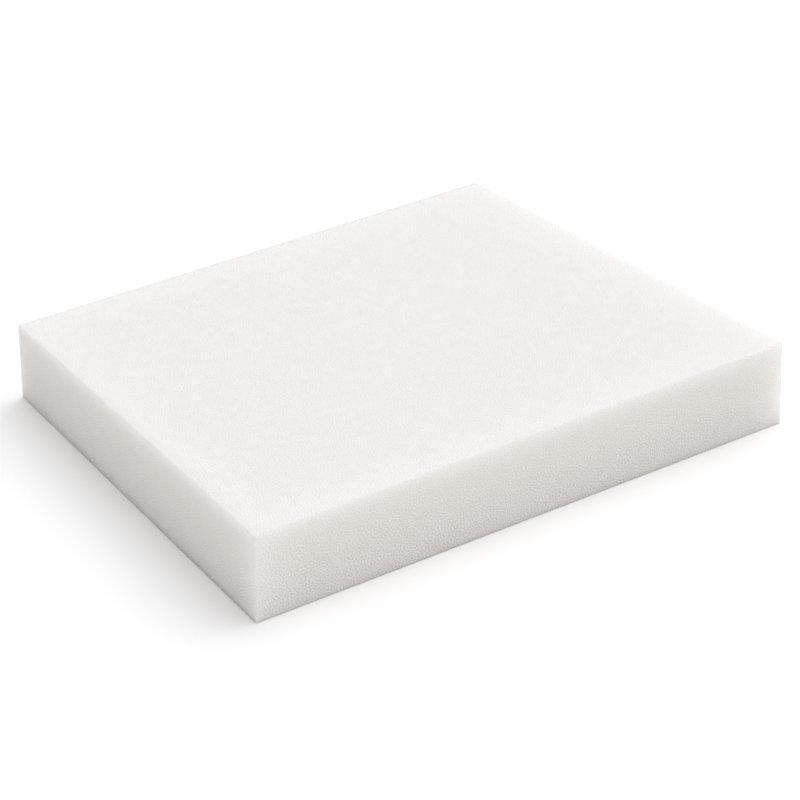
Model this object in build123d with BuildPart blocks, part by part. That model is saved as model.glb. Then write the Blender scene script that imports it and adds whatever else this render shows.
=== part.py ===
from build123d import *
import os

# A sheet of fine-celled white polyurethane foam: one block sawn from a larger bun, with flat
# faces, square corners, and edges that the blade has only just broken. Millimetres, +Z up,
# with the origin at the middle of the underside and the sheet's length along X.

# ---------------------------------------------------------------- driving dimensions
sheet_length = 330.0
sheet_width = 300.0
sheet_thickness = 50.0

corner_radius = 2.0  # the four upright edges, where two saw cuts meet
top_edge_radius = 1.5  # the rim of the top, where the cut cells give and round over
foot_edge_radius = 0.5  # the rim of the underside, which the sheet's weight presses square

# ---------------------------------------------------------------- foam sheet
with BuildPart() as foam_sheet:
    with BuildSketch(Plane.XY) as outline:
        Rectangle(sheet_length, sheet_width)
        fillet(outline.vertices(), radius=corner_radius)
    extrude(amount=sheet_thickness)
    top = foam_sheet.faces().sort_by(Axis.Z)[-1]
    fillet(top.edges(), radius=top_edge_radius)
    underside = foam_sheet.faces().sort_by(Axis.Z)[0]
    fillet(underside.edges(), radius=foot_edge_radius)

foam_sheet.part.label = "foam_sheet"

# ---------------------------------------------------------------- files
os.makedirs("parts", exist_ok=True)
export_step(foam_sheet.part, "parts/foam_sheet.step")
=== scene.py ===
import math

import bpy
import numpy as np
from mathutils import Matrix, Vector


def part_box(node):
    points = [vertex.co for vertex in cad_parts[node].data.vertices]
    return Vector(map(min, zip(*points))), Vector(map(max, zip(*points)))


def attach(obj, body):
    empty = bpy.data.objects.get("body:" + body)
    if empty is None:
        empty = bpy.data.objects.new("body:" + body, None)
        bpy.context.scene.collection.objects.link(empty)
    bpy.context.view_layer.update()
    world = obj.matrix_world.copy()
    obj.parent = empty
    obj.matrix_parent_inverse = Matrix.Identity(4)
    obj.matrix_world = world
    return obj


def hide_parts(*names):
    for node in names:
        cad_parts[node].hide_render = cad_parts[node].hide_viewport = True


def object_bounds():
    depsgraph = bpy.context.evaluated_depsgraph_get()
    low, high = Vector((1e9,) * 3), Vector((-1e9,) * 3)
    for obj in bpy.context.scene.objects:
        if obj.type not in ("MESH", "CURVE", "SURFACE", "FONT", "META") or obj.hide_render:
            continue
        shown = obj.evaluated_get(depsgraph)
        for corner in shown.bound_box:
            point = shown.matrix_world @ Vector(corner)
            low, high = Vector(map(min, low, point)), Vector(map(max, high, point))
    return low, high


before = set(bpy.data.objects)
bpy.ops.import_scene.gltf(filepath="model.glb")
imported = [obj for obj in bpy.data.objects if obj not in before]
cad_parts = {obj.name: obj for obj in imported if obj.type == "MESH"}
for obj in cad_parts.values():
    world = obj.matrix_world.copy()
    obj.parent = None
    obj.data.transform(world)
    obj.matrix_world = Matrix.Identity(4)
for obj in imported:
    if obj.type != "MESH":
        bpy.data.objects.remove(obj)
cad_low, cad_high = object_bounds()


# ---------------------------------------------------------------- foam sheet: the block
# One block of fine-celled white polyurethane foam, sawn from a larger bun. The blade leaves
# flat faces and only breaks their edges, and the soft block comes off it a little out of
# square, each corner by up to a few millimetres.
MM = 0.001
block_low, block_high = (np.array(corner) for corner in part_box("foam_sheet"))
edge_radius = 1.0 * MM
foot_radius = 0.5 * MM
edge_steps = 4
grid_spacing = 1.75 * MM

# How far each corner is out of true along the length and across the width, in millimetres,
# as [low x, high x][low y, high y][underside, top]. It is nought where it isn't set.
out_of_true = np.zeros((2, 2, 2, 2))
out_of_true[0, 0] = (-2.0, 1.4), (1.8, 0.9)
out_of_true[1, 0] = (-0.4, -1.5), (1.0, -1.0)
out_of_true[0, 1] = (-1.1, 2.2), (1.4, -4.0)
out_of_true[1, 1, 1] = -0.8, 2.1


def grid_lines(low, high):
    """Where the grid has its lines along one axis: evenly spaced over the flat, and over each
    rounded edge at the tangents of even angles, so that the quarter round has even steps."""
    first, last = low + edge_radius, high - edge_radius
    flat = np.linspace(first, last, round((last - first) / grid_spacing) + 1)
    over_edge = edge_radius * np.tan(np.linspace(0, math.pi / 4, edge_steps + 1)[1:])
    return np.concatenate([first - over_edge[::-1], flat, last + over_edge])


def closed_skin(lines):
    """The six faces of a grid block as one skin with shared vertices: the grid's outer points,
    and a quad for each cell of each face, turned so that it faces outwards. Also each quad
    corner's place on its face, by the face's own two coordinates, with each face a metre on
    from the last one, so that no two faces have the same places."""
    outer = np.ones([len(line) for line in lines], bool)
    outer[1:-1, 1:-1, 1:-1] = False
    places = np.argwhere(outer)
    points = np.stack([lines[axis][places[:, axis]] for axis in range(3)], axis=1)
    number = np.full(outer.shape, -1)
    number[outer] = np.arange(len(points))
    quads = []
    face_places = []
    for axis in range(3):
        for end in (0, -1):
            face = number.take(end, axis)
            if (axis == 1) == (end == -1):
                face = face.T
            around = face[:-1, :-1], face[1:, :-1], face[1:, 1:], face[:-1, 1:]
            quad = np.stack(around, axis=-1).reshape(-1, 4)
            face_places.append(np.delete(points[quad], axis, axis=-1) + len(quads))
            quads.append(quad)
    return points, np.concatenate(quads), np.concatenate(face_places)


def round_edges(points):
    """Each point goes to the distance of the radius from the nearest point of the block's core,
    which is the block less that radius all round. The radius grows from the foot, which the
    sheet's weight presses square, to the top edges. Returns places and outward normals."""
    height = (points[:, 2:] - block_low[2]) / (block_high[2] - block_low[2])
    radius = foot_radius + (edge_radius - foot_radius) * height
    core = np.clip(points, block_low + radius, block_high - radius)
    outward = points - core
    outward /= np.linalg.norm(outward, axis=1, keepdims=True)
    return core + radius * outward, outward


def blend_corners(share, corner_values):
    """The eight corners' values at each point, each weighted by how near the point is to that
    corner along the three axes, as a share of the block's side from 0 to 1."""
    total = 0
    for corner in np.ndindex(2, 2, 2):
        weight = np.where(corner, share, 1 - share).prod(axis=1, keepdims=True)
        total = total + weight * corner_values[corner]
    return total


def uneven(points, size, seed):
    """A smooth random height from -1 to 1 at each point: random heights at the corners of cubes
    of the given size, blended across each cube with an S-curve along each axis."""
    place = (points - points.min(axis=0)) / size
    cube = place.astype(int)
    share = place - cube
    share = share * share * (3 - 2 * share)
    heights = np.random.default_rng(seed).uniform(-1, 1, cube.max(axis=0) + 2)
    total = 0
    for corner in np.ndindex(2, 2, 2):
        weight = np.where(corner, share, 1 - share).prod(axis=1)
        total = total + weight * heights[tuple((cube + corner).T)]
    return total


grid = [grid_lines(*span) for span in zip(block_low, block_high)]
skin, quads, face_places = closed_skin(grid)
skin, outward = round_edges(skin)

# Where each point lies: how much it faces sideways and towards low X, how near it is to an upright
# edge and to the foot, and how near it is to the upright edge at high X and low Y, which has
# rubbed smooth and whose foot is painted lighter, a painted light. The distance to the nearest upright
# edge is the larger one of the distances to the nearest ends along the length and across the width.
upright_reach = 7.5 * MM
foot_height = 14 * MM
lit_rubbed_reach = 20 * MM
share = (skin - block_low) / (block_high - block_low)
side = 1 - outward[:, 2] ** 2
low_x_end = np.clip(-outward[:, 0], 0, 1)
to_ends = np.minimum(skin - block_low, block_high - skin)[:, :2].max(axis=1)
on_upright = np.exp(-to_ends / upright_reach)
near_foot = np.clip(1 - (skin[:, 2] - block_low[2]) / foot_height, 0, 1)
to_lit_rubbed_edge = np.hypot(block_high[0] - skin[:, 0], skin[:, 1] - block_low[1])
rubbed_and_lit = np.exp(-to_lit_rubbed_edge / lit_rubbed_reach)

# How torn the cells are at each point of the sides, with a painted glow of light coming through the
# edges in the same mark: fully on an upright edge, less on a top edge, though more so on the low X
# end's, fading from there, and not at all on the top. At the foot of the rubbed edge the mark is
# painted light, which lightens the foot further in.
top_reach = 4 * MM
top_edge_tear_and_glow = 0.35
low_x_more = 0.4
foot_painted_light = 1.3
below_top = block_high[2] - skin[:, 2]
on_top_edge = (top_edge_tear_and_glow + low_x_more * low_x_end) * np.exp(-below_top / top_reach)
torn_and_glow = np.maximum(on_upright, on_top_edge) + foot_painted_light * near_foot * rubbed_and_lit
torn_and_glow = np.minimum(torn_and_glow * side, 1)

# How far the sheet's weight has closed the cells at each point, which shortens the scatter, and how
# much painted warm shade the foot takes: fully at the foot and fading upwards from there, a third less
# so at the low X end, and more so again near an upright edge.
low_x_less = 0.33
upright_more = 0.4
closed_and_shaded = near_foot * (1 - low_x_less * low_x_end) * (1 + upright_more * on_upright)
closed_and_shaded = np.minimum(closed_and_shaded, 1)

# How strong the grain is at each point: on the sides it is weak below the top edge and stronger
# towards the foot, where less light comes into the cells from above. It is weaker on the low X
# end, which is cut more cleanly, and fades towards the rubbed edge.
top_grain = 0.33
under_edge_grain = 0.2
foot_grain = 0.9
clean_cut = 0.35
rubbed_smooth = 0.85
side_grain = foot_grain + (under_edge_grain - foot_grain) * share[:, 2]
grain = top_grain + (side_grain - top_grain) * side
grain *= (1 - clean_cut * low_x_end) * (1 - rubbed_smooth * rubbed_and_lit)

skin[:, :2] += blend_corners(share, out_of_true * MM)

# The cut cells leave the faces faintly pebbled, at two sizes. The faces are set in a little, so
# that few of the pebbles stand out past the block.
fine_pebble, fine_height = 3.5 * MM, 0.03 * MM
broad_pebble, broad_height = 9 * MM, 0.04 * MM
inset = 0.05 * MM
pebbles = fine_height * uneven(skin, fine_pebble, seed=1)
pebbles += broad_height * uneven(skin, broad_pebble, seed=2)
skin += outward * (pebbles - inset)[:, None]

mesh = bpy.data.meshes.new("foam_block")
mesh.from_pydata(skin.tolist(), [], quads.tolist())
mesh.polygons.foreach_set("use_smooth", [True] * len(quads))
mesh.uv_layers.new(name="cut_faces").data.foreach_set("uv", face_places.ravel())
mesh.attributes.new("torn_and_glow", "FLOAT", "POINT").data.foreach_set("value", torn_and_glow)
mesh.attributes.new("side", "FLOAT", "POINT").data.foreach_set("value", side)
mesh.attributes.new("closed_and_shaded", "FLOAT", "POINT").data.foreach_set("value", closed_and_shaded)
mesh.attributes.new("grain", "FLOAT", "POINT").data.foreach_set("value", grain)
foam_block = bpy.data.objects.new("foam_block", mesh)
bpy.context.scene.collection.objects.link(foam_block)


def linear(hex_colour):
    """An sRGB hex colour as linear red, green, blue and an alpha of 1."""
    values = [int(hex_colour[at:at + 2], 16) / 255 for at in (1, 3, 5)]
    return [v / 12.92 if v <= 0.04045 else ((v + 0.055) / 1.055) ** 2.4 for v in values] + [1]


def add_node(tree, kind, links=None, **settings):
    """Adds a shader node. Settings are properties of the node or values of its inputs, and
    links give, for an input's name or number, the output socket that feeds it."""
    node = tree.nodes.new(kind)
    for name, value in settings.items():
        if hasattr(node, name):
            setattr(node, name, value)
        else:
            node.inputs[name.replace("_", " ")].default_value = value
    for name, source in (links or {}).items():
        tree.links.new(source, node.inputs[name])
    return node


# Flexible polyurethane foam, sawn: an off-white that scatters light a long way in, so that the
# sides glow below the lit top and near the edges. The cut cells give it a fine dull grain of
# short curls. Along the edges it is lighter, partly for cells the blade has torn and partly as a
# painted glow of light coming through the edges. Real cells are 0.4 mm apart, too fine to show here, so
# they are drawn 1.55 mm apart. Broader patches differ from one another by a hundredth.
cell_spacing = 1.55 * MM
cells_along_curl = 1.4
cell_depth = 0.35 * MM
patch_size = 6 * MM
scatter_length = 20 * MM
foot_scatter_length = 3.5 * MM

foam = bpy.data.materials.new("sawn_polyurethane_foam")
foam.use_nodes = True
tree = foam.node_tree
tree.nodes.clear()
face_place = add_node(tree, "ShaderNodeUVMap", uv_map="cut_faces").outputs["UV"]
cells = add_node(tree, "ShaderNodeTexGabor", {"Vector": face_place}, gabor_type="2D",
                 Scale=1 / (cell_spacing * cells_along_curl), Frequency=cells_along_curl,
                 Anisotropy=0.0)
tone = add_node(tree, "ShaderNodeValToRGB", {"Fac": cells.outputs["Value"]})
tone.color_ramp.elements[0].position = 0.28
tone.color_ramp.elements[0].color = linear("#DED8D7")
tone.color_ramp.elements[1].position = 0.66
tone.color_ramp.elements[1].color = linear("#FCFFFF")
strength = add_node(tree, "ShaderNodeAttribute", attribute_name="grain")
cut = add_node(tree, "ShaderNodeMix", {"Factor": strength.outputs["Fac"], 7: tone.outputs["Color"]},
               data_type="RGBA")
cut.inputs[6].default_value = linear("#F1EFEE")
place = add_node(tree, "ShaderNodeTexCoord").outputs["Object"]
patches = add_node(tree, "ShaderNodeTexNoise", {"Vector": place}, Scale=1 / patch_size, Detail=2.0)
shade = add_node(tree, "ShaderNodeMapRange", {"Value": patches.outputs["Fac"]}, From_Min=0.3,
                 From_Max=0.7, To_Min=0.99, To_Max=1.01)
patchy = add_node(tree, "ShaderNodeMix", {6: cut.outputs[2], 7: shade.outputs[0]},
                  data_type="RGBA", blend_type="MULTIPLY", Factor=1.0)
# Painted glow: the sides are made lighter along the edges, for torn cells and for light coming through
# the edges, and painted light lightens the foot of the rubbed edge.
glow_and_torn_cells = add_node(tree, "ShaderNodeAttribute", attribute_name="torn_and_glow")
torn_and_glowing = add_node(tree, "ShaderNodeMix", {"Factor": glow_and_torn_cells.outputs["Fac"], 6: patchy.outputs[2]},
                  data_type="RGBA", blend_type="ADD", clamp_result=True)
torn_and_glowing.inputs[7].default_value = linear("#696969")
# Painted light and shade: the top is a shade darker and the sides are warmer, as the light falls on
# them.
sides = add_node(tree, "ShaderNodeAttribute", attribute_name="side")
painted_light_tint = add_node(tree, "ShaderNodeMix", {"Factor": sides.outputs["Fac"]}, data_type="RGBA")
painted_light_tint.inputs[6].default_value = linear("#FCFCFC")
painted_light_tint.inputs[7].default_value = linear("#FEFDFA")
painted_light_tinted = add_node(tree, "ShaderNodeMix", {6: torn_and_glowing.outputs[2], 7: painted_light_tint.outputs[2]},
                data_type="RGBA", blend_type="MULTIPLY", Factor=1.0)
# Painted shade: a faint warm cast towards the foot, where the foam lies in shade.
pressed_and_shaded = add_node(tree, "ShaderNodeAttribute", attribute_name="closed_and_shaded")
colour = add_node(tree, "ShaderNodeMix", {"Factor": pressed_and_shaded.outputs["Fac"], 6: painted_light_tinted.outputs[2]},
                  data_type="RGBA", blend_type="MULTIPLY")
colour.inputs[7].default_value = linear("#FFFBFC")
reach = add_node(tree, "ShaderNodeMapRange", {"Value": pressed_and_shaded.outputs["Fac"]},
                 To_Min=scatter_length, To_Max=foot_scatter_length)
relief = add_node(tree, "ShaderNodeBump", {"Height": cells.outputs["Value"]}, Distance=cell_depth)
shader = add_node(tree, "ShaderNodeBsdfPrincipled",
                  {"Base Color": colour.outputs[2], "Normal": relief.outputs["Normal"],
                   "Subsurface Scale": reach.outputs[0]},
                  Roughness=0.95, Specular_IOR_Level=0.1, Subsurface_Weight=1.0,
                  Subsurface_Radius=(1.0, 1.0, 1.0))
add_node(tree, "ShaderNodeOutputMaterial", {"Surface": shader.outputs["BSDF"]})
foam_block.data.materials.append(foam)

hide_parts("foam_sheet")
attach(foam_block, "root")


# ---------------------------------------------------------------- floor
# A broad matt white board under the sheet, which takes its soft shadow. Seen straight or in a
# mirror, it is a little lighter and rosier than it is to the lamps, so that away from the sheet
# it is plain white, and the shadow is faintly rosy.
board_half = 4.0
lit_level = 0.98
seen_level = 1.052

board_mesh = bpy.data.meshes.new("white_board")
corners = [(x * board_half, y * board_half, cad_low.z) for x, y in ((-1, -1), (1, -1), (1, 1), (-1, 1))]
board_mesh.from_pydata(corners, [], [(0, 1, 2, 3)])
board = bpy.data.objects.new("white_board", board_mesh)
bpy.context.scene.collection.objects.link(board)


def is_seen(tree):
    """The socket that is 1 for a ray by which the eye sees the surface, straight, in a mirror or
    through glass, and 0 for one by which the surface lights something: the three kinds' maximum."""
    rays = add_node(tree, "ShaderNodeLightPath").outputs
    seen = add_node(tree, "ShaderNodeMath", {0: rays["Is Camera Ray"], 1: rays["Is Glossy Ray"]},
                    operation="MAXIMUM")
    seen = add_node(tree, "ShaderNodeMath", {0: seen.outputs[0], 1: rays["Is Transmission Ray"]},
                    operation="MAXIMUM")
    return seen.outputs[0]


matt_white = bpy.data.materials.new("matt_white_board")
matt_white.use_nodes = True
tree = matt_white.node_tree
tree.nodes.clear()
seen = is_seen(tree)
level = add_node(tree, "ShaderNodeMapRange", {"Value": seen}, To_Min=lit_level, To_Max=seen_level)
white = add_node(tree, "ShaderNodeMix", {"Factor": seen, 6: level.outputs[0]}, data_type="RGBA",
                 blend_type="MULTIPLY")
white.inputs[7].default_value = linear("#FFFEFF")
matt = add_node(tree, "ShaderNodeBsdfDiffuse", {"Color": white.outputs[2]})
add_node(tree, "ShaderNodeOutputMaterial", {"Surface": matt.outputs[0]})
board.data.materials.append(matt_white)


# ---------------------------------------------------------------- light
# Two broad soft lamps, high on the right, in a room that is a little dimmer and warmer round the
# walls than overhead. To the eye the room is plain white.
def direction(azimuth, elevation):
    """The unit vector towards a place at that azimuth, from -Y towards +X, and elevation."""
    a, e = math.radians(azimuth), math.radians(elevation)
    return Vector((math.sin(a) * math.cos(e), -math.cos(a) * math.cos(e), math.sin(e)))


def soft_lamp(name, azimuth, elevation, spread, strength):
    """A round lamp far away in that direction, as wide as the spread is in degrees."""
    lamp = bpy.data.lights.new(name, "SUN")
    lamp.angle = math.radians(spread)
    lamp.energy = strength
    stand = bpy.data.objects.new(name, lamp)
    stand.rotation_mode = "QUATERNION"
    stand.rotation_quaternion = direction(azimuth, elevation).to_track_quat("Z", "Y")
    bpy.context.scene.collection.objects.link(stand)


soft_lamp("right_front_lamp", azimuth=65, elevation=55, spread=60, strength=0.7)
soft_lamp("right_back_lamp", azimuth=115, elevation=55, spread=60, strength=0.78)

# The room goes from its walls' light to its ceiling's between two heights, which are given as the
# sine of the elevation.
wall_top, ceiling_edge = 0.25, 0.45
wall_level, ceiling_level = 0.25, 0.695

world = bpy.data.worlds.new("room")
bpy.context.scene.world = world
world.use_nodes = True
tree = world.node_tree
tree.nodes.clear()
place = add_node(tree, "ShaderNodeTexCoord").outputs["Generated"]
height = add_node(tree, "ShaderNodeSeparateXYZ", {"Vector": place}).outputs["Z"]
above = add_node(tree, "ShaderNodeMapRange", {"Value": height}, From_Min=wall_top,
                 From_Max=ceiling_edge)
shade = add_node(tree, "ShaderNodeMix", {"Factor": above.outputs[0]}, data_type="RGBA")
shade.inputs[6].default_value = linear("#FFEBD4")
shade.inputs[7].default_value = linear("#FCFEFF")
level = add_node(tree, "ShaderNodeMapRange", {"Value": above.outputs[0]}, To_Min=wall_level,
                 To_Max=ceiling_level)
room = add_node(tree, "ShaderNodeBackground", {"Color": shade.outputs[2], "Strength": level.outputs[0]})
white = add_node(tree, "ShaderNodeBackground", Color=(1, 1, 1, 1), Strength=1.0)
either = add_node(tree, "ShaderNodeMixShader", {0: is_seen(tree), 1: room.outputs[0],
                                                2: white.outputs[0]})
add_node(tree, "ShaderNodeOutputWorld", {"Surface": either.outputs[0]})


# ---------------------------------------------------------------- camera
# A long lens, which looks down on the upright edge at low X and low Y from a good metre away,
# and is rolled by a few degrees.
camera_azimuth, camera_elevation, camera_roll = -29.53, 28.1, -4.29
camera_distance = 1181 * MM
aim = Vector((-12 * MM, -34.9 * MM, 25 * MM))
focal_length = 95

lens = bpy.data.cameras.new("camera")
lens.lens = focal_length
camera = bpy.data.objects.new("camera", lens)
back = direction(camera_azimuth, camera_elevation)
turn = back.to_track_quat("Z", "Y").to_matrix().to_4x4()
camera.matrix_world = (Matrix.Translation(aim + back * camera_distance) @ turn
                       @ Matrix.Rotation(math.radians(camera_roll), 4, "Z"))
bpy.context.scene.collection.objects.link(camera)
bpy.context.scene.camera = camera
bpy.context.scene.view_settings.view_transform = "Standard"
